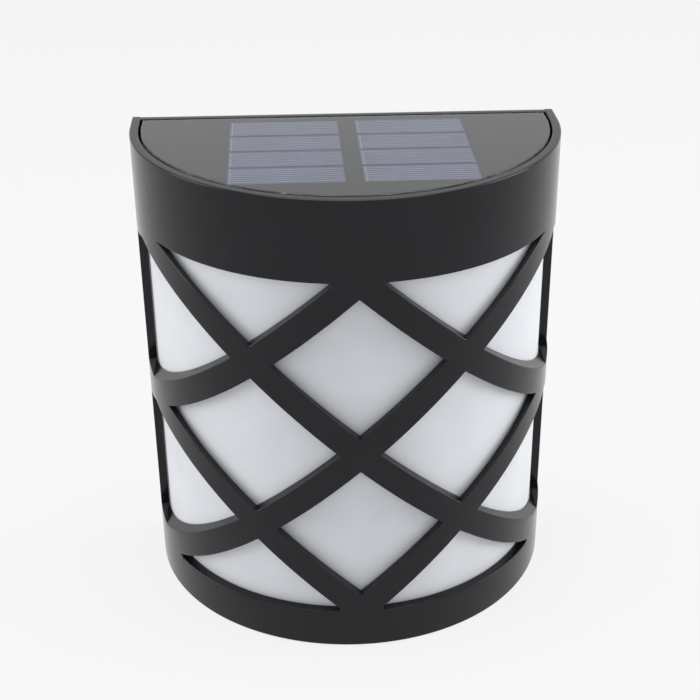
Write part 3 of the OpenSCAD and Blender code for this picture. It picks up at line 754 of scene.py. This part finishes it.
def frosted_diffuser(ease=0.25):
    """The diffuser: a half round shell with eased edges, swept round the plan."""
    piece = Piece()
    low, high = FLOOR_T, LEDGE_Z - DIFFUSER_GAP
    outer, inner = DIFFUSER_R, DIFFUSER_R - DIFFUSER_T
    section = [(outer - ease, low), (outer, low + ease), (outer, high - ease),
               (outer - ease, high), (inner + ease, high), (inner, high - ease),
               (inner, low + ease), (inner + ease, low)]
    piece.loft(list(zip(*(plan(r, DIFFUSER_BACK, z, steps=128) for r, z in section))))
    piece.finished("frosted_diffuser", [OPAL], ["diffuser"])


def resin_face(near=0.01):
    """The poured resin that closes the lid, with the slightly drawn-up edge of a poured face."""
    piece = Piece()
    low, low_round = RESIN_Z - RESIN_SEAT, 0.1
    plan_slab(piece, LID_R, LID_BACK, low, BODY_H, low_round, RESIN_ROUND)
    for face, points in enumerate(piece.faces):
        heights = [piece.points[i][2] for i in points]
        if min(heights) < BODY_H - RESIN_ROUND - near and max(heights) > low + low_round + near:
            piece.slots[face] = 1
    piece.finished("resin_face", [EPOXY, RESIN_EDGE], ["panel_resin"])


lattice_housing()
frosted_diffuser()
resin_face()


# Repeated details

def tree_of(name, sizes=(), lengths=(), counts=(), paints=()):
    """An empty geometry tree and its named inputs. Sizes are vectors, and each tree also takes
    points and a turn for what it puts on them."""
    tree = bpy.data.node_groups.new(name, "GeometryNodeTree")
    kinds = {"Geometry": ["Geometry"], "Vector": ["Turn", *sizes], "Float": lengths,
             "Int": counts, "Material": paints}
    for kind, labels in kinds.items():
        for label in labels:
            tree.interface.new_socket(label, in_out="INPUT", socket_type="NodeSocket" + kind)
    tree.interface.new_socket("Geometry", in_out="OUTPUT", socket_type="NodeSocketGeometry")
    return tree, tree.nodes.new("NodeGroupInput").outputs


def close_tree(tree, take, *parts):
    """Ends a tree: each part goes on every given point, is realised and gets its material."""
    done = []
    for shape, paint in parts:
        spread = add(tree, "GeometryNodeInstanceOnPoints", {
            "Points": take["Geometry"], "Instance": shape, "Rotation": take["Turn"]})
        real = add(tree, "GeometryNodeRealizeInstances", {"Geometry": spread})
        done.append(add(tree, "GeometryNodeSetMaterial", {
            "Geometry": real, "Material": take[paint]}))
    add(tree, "NodeGroupOutput", [add(tree, "GeometryNodeJoinGeometry", [done])])
    return tree


def grown(name, tree, points, values, stands_for=()):
    """Runs a geometry tree on points and keeps the plain mesh that it makes. Lengths and sizes are
    given in millimetres."""
    made = placed(name, mesh_of(name, points))
    run = made.modifiers.new(tree.name, "NODES")
    run.node_group = tree
    for item in tree.interface.items_tree:
        if item.in_out == "INPUT" and item.name in values:
            value = values[item.name]
            if item.socket_type == "NodeSocketFloat":
                value *= MM
            elif item.socket_type == "NodeSocketVector" and item.name != "Turn":
                value = [side * MM for side in value]
            run[item.identifier] = value
    settle(made)
    dress(made, stands_for=stands_for, weighted=False)


def upright(tree, shape, height, radial):
    """A cylinder's mesh set on z = 0, its rings scaled by radial, a function of z and turn."""
    lift = add(tree, XYZ, {"Z": add(tree, MATH, (height, 0.5), operation="MULTIPLY")})
    raised = add(tree, "ShaderNodeVectorMath", (add(tree, "GeometryNodeInputPosition"), lift))
    x, y, z = add(tree, "ShaderNodeSeparateXYZ", [raised]).outputs
    scale = radial(z, add(tree, MATH, (y, x), operation="ARCTAN2"))
    sized = add(tree, "ShaderNodeVectorMath", (raised, add(tree, XYZ, (scale, scale, 1.0))),
                operation="MULTIPLY")
    return add(tree, "GeometryNodeSetPosition", {"Geometry": shape, "Position": sized})


def cell_tree():
    """Strips of solar cell, each with printed fingers along it and a bus bar near one end."""
    tree, take = tree_of("solar_strips", (
        "Strip size", "Finger size", "First finger", "Finger step", "Bus size", "Bus place"),
        counts=("Finger count",), paints=("Silicon", "Silver"))
    strip, finger, bus = (add(tree, "GeometryNodeMeshCube", {"Size": take[size]})
                          for size in ("Strip size", "Finger size", "Bus size"))
    row = add(tree, "GeometryNodeMeshLine", {
        "Count": take["Finger count"], "Start Location": take["First finger"],
        "Offset": take["Finger step"]})
    fingers = add(tree, "GeometryNodeInstanceOnPoints", {"Points": row, "Instance": finger})
    bar = add(tree, "GeometryNodeTransform", {"Geometry": bus, "Translation": take["Bus place"]})
    prints = add(tree, "GeometryNodeJoinGeometry", [[fingers, bar]])
    return close_tree(tree, take, (strip, "Silicon"), (prints, "Silver"))


def screw_tree():
    """Pan head screws with a cross recess and a rolled thread. The tip stands on z = 0."""
    tree, take = tree_of(
        "cross_recess_screws", ("Seat", "Recess place", "Recess size", "Crossing size"),
        ("Head radius", "Head height", "Shank radius", "Rod length", "Thread pitch"),
        ("Thread rings",), ("Metal",))
    height = take["Head height"]

    def domed(z, _):
        share = add(tree, MATH, (z, height), operation="DIVIDE")
        fall = add(tree, MATH, (share, 3.0), operation="POWER")
        return add(tree, MATH, (fall, -HEAD_FALL, 1.0), operation="MULTIPLY_ADD")

    def threaded(z, turn):
        rise = add(tree, MATH, (z, take["Thread pitch"]), operation="DIVIDE")
        along = add(tree, MATH, (turn, 1 / (2 * math.pi), rise), operation="MULTIPLY_ADD")
        wave = add(tree, MATH, (along, 0.5), operation="PINGPONG")
        depth = add(tree, MATH, (wave, 2 * THREAD_CUT, 1 - THREAD_CUT),
                    operation="MULTIPLY_ADD")
        share = add(tree, MATH, (z, take["Shank radius"]), operation="DIVIDE")
        point = add(tree, MATH, (share, (1 - TIP_SHARE) / 2, TIP_SHARE),
                    operation="MULTIPLY_ADD")
        tip = add(tree, MATH, (point, 1.0), operation="MINIMUM")
        return add(tree, MATH, (depth, tip), operation="MULTIPLY")

    head = add(tree, "GeometryNodeMeshCylinder", {
        "Vertices": 40, "Side Segments": 8, "Depth": height, "Radius": take["Head radius"]})
    pan = upright(tree, head, height, domed)
    for size in ("Recess size", "Crossing size"):
        arm = add(tree, "GeometryNodeTransform", {
            "Geometry": add(tree, "GeometryNodeMeshCube", {"Size": take[size]}),
            "Translation": take["Recess place"]})
        pan = add(tree, "GeometryNodeMeshBoolean", {"Mesh 1": pan, "Mesh 2": arm},
                  operation="DIFFERENCE", solver="EXACT")
    seated = add(tree, "GeometryNodeTransform", {"Geometry": pan, "Translation": take["Seat"]})
    rod = add(tree, "GeometryNodeMeshCylinder", {
        "Vertices": 24, "Side Segments": take["Thread rings"], "Depth": take["Rod length"],
        "Radius": take["Shank radius"]})
    thread = upright(tree, rod, take["Rod length"], threaded)
    whole = add(tree, "GeometryNodeJoinGeometry", [[thread, seated]])
    return close_tree(tree, take, (whole, "Metal"))


def lamp_tree():
    """Clear lamps: a flange, a round body and a dome in one casting. The flange stands on z = 0."""
    tree, take = tree_of("domed_lamps", (), (
        "Body radius", "Body height", "Whole height", "Flange", "Flange height"), (), ("Epoxy",))
    radius = take["Body radius"]

    def dome(z, _):
        over = add(tree, MATH, (z, take["Body height"]), operation="SUBTRACT")
        above = add(tree, MATH, (over, 0.0), operation="MAXIMUM")
        share = add(tree, MATH, (above, radius), operation="DIVIDE")
        square = add(tree, MATH, (share, share), operation="MULTIPLY")
        left = add(tree, MATH, (1.0, square), operation="SUBTRACT")
        round_off = add(tree, MATH, [left], operation="SQRT")
        low = add(tree, MATH, (z, take["Flange height"]), operation="LESS_THAN")
        wide = add(tree, MATH, (take["Flange"], radius), operation="DIVIDE")
        return add(tree, MATH, (low, wide, round_off), operation="MULTIPLY_ADD")

    body = add(tree, "GeometryNodeMeshCylinder", {
        "Vertices": 36, "Side Segments": 60, "Depth": take["Whole height"], "Radius": radius})
    lamp = upright(tree, body, take["Whole height"], dome)
    return close_tree(tree, take, (lamp, "Epoxy"))


def coil_tree():
    """Round wire wound in turns, from one radius to another, along z."""
    tree, take = tree_of("wound_wire", (), ("First radius", "Last radius", "Rise", "Wire radius"),
                         ("Turns",), ("Wire",))
    spiral = add(tree, "GeometryNodeCurveSpiral", {
        "Resolution": 40, "Rotations": take["Turns"], "Start Radius": take["First radius"],
        "End Radius": take["Last radius"], "Height": take["Rise"]})
    ring = add(tree, "GeometryNodeCurvePrimitiveCircle", {
        "Resolution": 12, "Radius": take["Wire radius"]})
    wire = add(tree, "GeometryNodeCurveToMesh", {
        "Curve": spiral, "Profile Curve": ring, "Fill Caps": True})
    return close_tree(tree, take, (wire, "Wire"))


def lead_tree():
    """Pairs of gull wing leads, one on each side of a chip: a flat foot and an upright leg."""
    tree, take = tree_of("gull_wing_leads", ("Foot size", "Foot place", "Leg size", "Leg place"),
                         paints=("Metal",))
    bars = []
    for way in (-1, 1):
        for bar in ("Foot", "Leg"):
            at = add(tree, "ShaderNodeVectorMath", (take[bar + " place"], (way, 1, 1)),
                     operation="MULTIPLY")
            cube = add(tree, "GeometryNodeMeshCube", {"Size": take[bar + " size"]})
            bars.append(add(tree, "GeometryNodeTransform", {"Geometry": cube, "Translation": at}))
    both = add(tree, "GeometryNodeJoinGeometry", [bars])
    return close_tree(tree, take, (both, "Metal"))


STRIPS, SCREWS, COILS = cell_tree(), screw_tree(), coil_tree()

for side, label in ((-1, "left"), (1, "right")):
    middle_x = side * (GROUP_GAP + CELL_L) / 2
    places = [(middle_x, -CELL_START - CELL_W / 2 - k * (CELL_W + CELL_GAP), RESIN_Z + CELL_T / 2)
              for k in range(CELL_COUNT)]
    grown("solar_strips_" + label, STRIPS, places, {
        "Strip size": (CELL_L, CELL_W, CELL_T),
        "Finger size": (CELL_L - 2 * FINGER_MARGIN, FINGER_W, PRINT_T),
        "First finger": (0, -(FINGERS - 1) * FINGER_PITCH / 2, CELL_T / 2),
        "Finger step": (0, FINGER_PITCH, 0), "Finger count": FINGERS,
        "Bus size": (BUS_W, CELL_W - 2 * BUS_MARGIN, PRINT_T),
        "Bus place": (BUS_INSET - CELL_L / 2, 0, CELL_T / 2),
        "Silicon": SILICON, "Silver": SILVER}, ["solar_cells_" + label])

# Each row: the node, its screws' tips, the way the heads look, and the screws' sizes
for node, tips, looks, head_d, head_h, shank_d, shank_l, pitch in (
        ("rear_screws", [(x, REAR_TIP_Y, z) for x in (-BOSS_X, BOSS_X)
                         for z in (BOSS_LOW, BOSS_TOP)], "back", 5.6, 2.0, 2.4, 27.0, 1.0),
        ("lid_screws", [(x, y, LID_TIP_Z) for x, y in LID_SCREWS], "down",
         7.0, 1.6, 2.0, 4.6, 0.8),
        ("carrier_screws", [(way * x, CARRIER_Y, z) for x, z in (
            (BOARD_SCREW_X, BOARD_Z), (HOLDER_SCREW_X, BATTERY_Z)) for way in (-1, 1)], "back",
         3.8, 1.4, 1.9, 5.6, 0.7),
        ("switch_screws", [(x, SWITCH_TIP_Y, SWITCH_Z) for x in (-SWITCH_SCREW_X, SWITCH_SCREW_X)],
         "front", 3.3, 1.4, 1.6, 4.1, 0.6)):
    rod_l = shank_l + INTO_HEAD * head_h
    grown(node + "_threaded", SCREWS, tips, {
        "Turn": TURNS[looks], "Head radius": head_d / 2, "Head height": head_h,
        "Shank radius": shank_d / 2, "Rod length": rod_l, "Thread pitch": pitch,
        "Thread rings": math.ceil(THREAD_RINGS * rod_l / pitch), "Seat": (0, 0, shank_l),
        "Recess place": (0, 0, head_h), "Recess size": (CROSS_L, CROSS_W, head_h),
        "Crossing size": (CROSS_W, CROSS_L, head_h), "Metal": ZINC}, [node])

grown("domed_lamps", lamp_tree(),
      [(x, BOARD_FRONT, BOARD_Z + z) for x in (-LAMP_X, 0, LAMP_X) for z in (-LAMP_Z, LAMP_Z)], {
          "Turn": TURNS["front"], "Body radius": LAMP_R, "Body height": LAMP_BODY,
          "Whole height": LAMP_BODY + DOME * LAMP_R, "Flange": 0.4, "Flange height": 1.0,
          "Epoxy": LED_EPOXY}, ["leds"])
grown("contact_spring", COILS, [(SPRING_X, BATTERY_Y, BATTERY_Z)], {
    "Turn": TURNS["right"], "First radius": 4.6, "Last radius": 2.8, "Rise": 3.5, "Turns": 4,
    "Wire radius": 0.35, "Wire": NICKEL}, ["battery_spring"])
grown("choke_winding", COILS, [(INDUCTOR_X, BOARD_BACK + 1.25, BOARD_Z)], {
    "Turn": TURNS["back"], "First radius": 2.15, "Last radius": 2.15, "Rise": 2.7, "Turns": 9,
    "Wire radius": 0.15, "Wire": COPPER})


# Parts on the board, the battery cell and the knob

def choke_core(core=2.0, flange=3.0, thick=1.0, length=5.2, ease=0.2):
    """The inductor's ferrite bobbin: a core between two flanges."""
    piece = Piece()
    end = [(SHUT, 0), (flange - ease, 0), (flange, ease), (flange, thick - ease),
           (flange - ease, thick), (core, thick)]
    piece.turned(end + [(r, length - along) for r, along in reversed(end)],
                 (INDUCTOR_X, BOARD_BACK, BOARD_Z), (0, 1, 0))
    piece.finished("choke_core", [FERRITE], ["inductor"])


def chip_case():
    """The driver chip's case."""
    piece = Piece()
    piece.block((CHIP_X - CHIP_W / 2, BOARD_BACK + CHIP_LIFT, BOARD_Z - CHIP_H / 2),
                (CHIP_X + CHIP_W / 2, BOARD_BACK + CHIP_TOP, BOARD_Z + CHIP_H / 2), soft=0.15)
    piece.finished("chip_case", [CHIP_EPOXY], ["driver_chip"])


def sleeved_cell():
    """The rechargeable cell: a shrink sleeve that turns in over both ends of a can, with the can's
    flat end and its end with the button."""
    piece = Piece()
    for slot, profile in (
            (0, [(5.9, 0.5), (5.9, 0.12), (6.1, 0), (6.8, 0), (7.0, 0.1), (7.1, 0.35), (7.1, 47.9),
                 (7.0, 48.3), (6.7, 48.6), (5.6, 48.8), (5.4, 48.7), (5.4, 48.2)]),
            (1, [(SHUT, 0.05), (5.8, 0.05), (6.0, 0.2), (6.0, 0.6), (SHUT, 0.6)]),
            (1, [(SHUT, 48.1), (5.5, 48.1), (5.5, 48.5), (2.9, 48.6), (2.6, 48.8), (2.5, 49.6),
                 (2.35, 49.9), (2.1, 50.0), (SHUT, 50.0)])):
        piece.turned(profile, (BATTERY_X, BATTERY_Y, BATTERY_Z), (1, 0, 0), slot, steps=72)
    piece.finished("sleeved_cell", [SHRINK, NICKEL], ["battery_cell"])


def ribbed_knob(left=-2.5, width=3.0, root=-10.0, face=-1.9, tall=2.2):
    """The slide switch's knob at its off end, with ribs across its face for a fingertip."""
    piece = Piece()
    piece.block((left, root, SWITCH_Z - tall / 2), (left + width, face, SWITCH_Z + tall / 2))
    rib_w, rib_pitch, rib_tall, inset = 0.36, 0.68, 2.0, 0.2
    for k in range(4):
        x = left + inset + rib_pitch * k
        piece.block((x, face - inset, SWITCH_Z - rib_tall / 2),
                    (x + rib_w, face + 0.5, SWITCH_Z + rib_tall / 2), soft=0.12)
    piece.finished("ribbed_knob", [ACETAL], ["switch_knob"], body=LEVER)


choke_core()
chip_case()
grown("chip_leads", lead_tree(),
      [(CHIP_X, BOARD_BACK, BOARD_Z + z) for z in (-1.5, -0.5, 0.5, 1.5)], {
          "Foot size": (LEAD_FOOT, LEAD_T, LEAD_W), "Leg size": (LEAD_T, LEAD_RISE, LEAD_W),
          "Foot place": (LEAD_REACH - LEAD_FOOT / 2, LEAD_T / 2, 0),
          "Leg place": (LEAD_REACH - LEAD_FOOT + LEAD_T / 2, LEAD_RISE / 2, 0), "Metal": TINNED})
sleeved_cell()
ribbed_knob()


def eased(node, name, paint, width):
    """A copy of a CAD piece with its moulded or stamped edges eased."""
    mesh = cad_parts[node].data.copy()
    mesh.materials.clear()
    bm = bmesh.new()
    bm.from_mesh(mesh)
    bmesh.ops.remove_doubles(bm, verts=bm.verts[:], dist=SEAM * MM)
    bmesh.ops.dissolve_limit(bm, angle_limit=math.radians(0.5), verts=bm.verts[:],
                             edges=bm.edges[:])
    bm.to_mesh(mesh)
    bm.free()
    made = placed(name, mesh)
    soft = made.modifiers.new("eased_edges", "BEVEL")
    soft.width = width * MM
    soft.segments = 2
    soft.limit_method = "ANGLE"
    soft.angle_limit = math.radians(35)
    soft.use_clamp_overlap = True
    settle(made)
    dress(made, [paint], 40.0, HOUSING, [node])


for node, name, paint, width in (
        ("rear_cover", "rear_cover_shell", DULL_ABS, 0.3),
        ("panel_tray", "lid_tray", DULL_ABS, 0.2),
        ("reflector", "white_reflector", WHITE_HIPS, 0.25),
        ("battery_holder", "battery_cradle", WHITE_HIPS, 0.2),
        ("switch_body", "switch_case", NYLON, 0.12),
        ("switch_frame", "switch_plate", NICKEL, 0.08),
        ("led_board", "lamp_board", GREEN_MASK, 0.06),
        ("rear_gasket", "rear_seal", EPDM, 0.15),
        ("lid_gasket", "lid_seal", EPDM, 0.12)):
    eased(node, name, paint, width)

# CAD nodes whose shape stays, and their finish
for name, paint in {
        "panel_board": PANEL_BOARD, "battery_plate": NICKEL, "battery_tab": NICKEL,
        "switch_terminals": TINNED, "panel_wire_red": RED_PVC, "panel_wire_black": BLACK_PVC,
        "battery_wire_red": RED_PVC, "battery_wire_black": BLACK_PVC, "switch_wire_left": RED_PVC,
        "switch_wire_right": RED_PVC}.items():
    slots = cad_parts[name].data.materials
    for k in range(len(slots)):
        slots[k] = paint


# Floor, lights and camera. Places are in metres

def looked_at(tree):
    """1 for a ray that shows the surface to the eye: straight, in gloss, or through resin."""
    ray = add(tree, "ShaderNodeLightPath").outputs
    seen = add(tree, MATH, (ray["Is Camera Ray"], ray["Is Glossy Ray"]), operation="MAXIMUM")
    return add(tree, MATH, (seen, ray["Is Transmission Ray"]), operation="MAXIMUM")


def floor(half=4000.0):
    """A pale floor. What looks straight at it, or sees it in gloss or through resin, gets the
    background's tone, with the object's shadow kept in it. From below it isn't seen."""
    made = placed("floor", mesh_of("floor", [(-half, -half, 0), (half, -half, 0), (half, half, 0),
                                             (-half, half, 0)], [(0, 1, 2, 3)]))
    made.location = (0, 0, -0.0001)
    paint, tree = bare(bpy.data.materials, "pale_floor")
    matt = add(tree, "ShaderNodeBsdfDiffuse", {"Color": linear("#c8c8c8")})
    glow = add(tree, "ShaderNodeEmission", {"Color": linear("#fbfbfb"), "Strength": 1.0})
    share = add(tree, MATH, (looked_at(tree), 0.85), operation="MULTIPLY")
    top = add(tree, "ShaderNodeMixShader", (share, matt, glow))
    below = add(tree, "ShaderNodeNewGeometry").outputs["Backfacing"]
    sided = add(tree, "ShaderNodeMixShader", (below, top, add(tree, "ShaderNodeBsdfTransparent")))
    add(tree, "ShaderNodeOutputMaterial", [sided])
    made.data.materials.append(paint)


def studio_world():
    """A soft, even studio, in the background's tone where it is looked at."""
    world, tree = bare(bpy.data.worlds, "studio")
    light = add(tree, "ShaderNodeBackground", {"Color": linear("#f0f2f5"), "Strength": 0.72})
    pale = add(tree, "ShaderNodeBackground", {"Color": linear("#f8f8f8"), "Strength": 1.0})
    mix = add(tree, "ShaderNodeMixShader", (looked_at(tree), light, pale))
    add(tree, "ShaderNodeOutputWorld", [mix])
    bpy.context.scene.world = world


def softbox(name, place, width, height, radiance):
    """A rectangular studio lamp of a brightness, aimed at the middle of the light."""
    lamp = bpy.data.lights.new(name, "AREA")
    lamp.shape = "RECTANGLE"
    lamp.size, lamp.size_y, lamp.energy = width, height, math.pi * width * height * radiance
    made = placed(name, lamp)
    made.location = place
    aim = Vector((0, -0.03, 0.06)) - Vector(place)
    made.rotation_euler = aim.to_track_quat("-Z", "Y").to_euler()
    made.visible_camera = False


def camera():
    """The photograph's view, found by fitting the rim, base, outline and lattice."""
    place = Vector((-0.016140, -0.347012, 0.231494))
    yaw, pitch, roll = 0.087925, 0.508429, 0.008111
    focal_px, frame_px, sensor = 1432.061, 700, 36.0
    # The photograph is cropped: its axis lies 50 pixels right of and below its middle
    off_axis_px = 50
    data = bpy.data.cameras.new("camera")
    data.sensor_fit = "HORIZONTAL"
    data.sensor_width = sensor
    data.lens = focal_px / frame_px * sensor
    data.clip_start = 0.01
    data.shift_x = -off_axis_px / frame_px
    data.shift_y = off_axis_px / frame_px
    made = placed("camera", data)
    made.matrix_world = (Matrix.Translation(place) @ Matrix.Rotation(-yaw, 4, "Z")
                         @ Matrix.Rotation(math.pi / 2 - pitch, 4, "X")
                         @ Matrix.Rotation(roll, 4, "Z"))
    bpy.context.scene.camera = made


floor()
studio_world()
softbox("left_softbox", (-0.8, -0.05, 0.3), 0.4, 0.6, 3.4)
softbox("right_softbox", (0.8, -0.05, 0.3), 0.4, 0.6, 4.8)
softbox("overhead_softbox", (0.0, -0.05, 0.9), 0.7, 0.35, 6.5)
camera()
bpy.context.scene.view_settings.view_transform = "Standard"
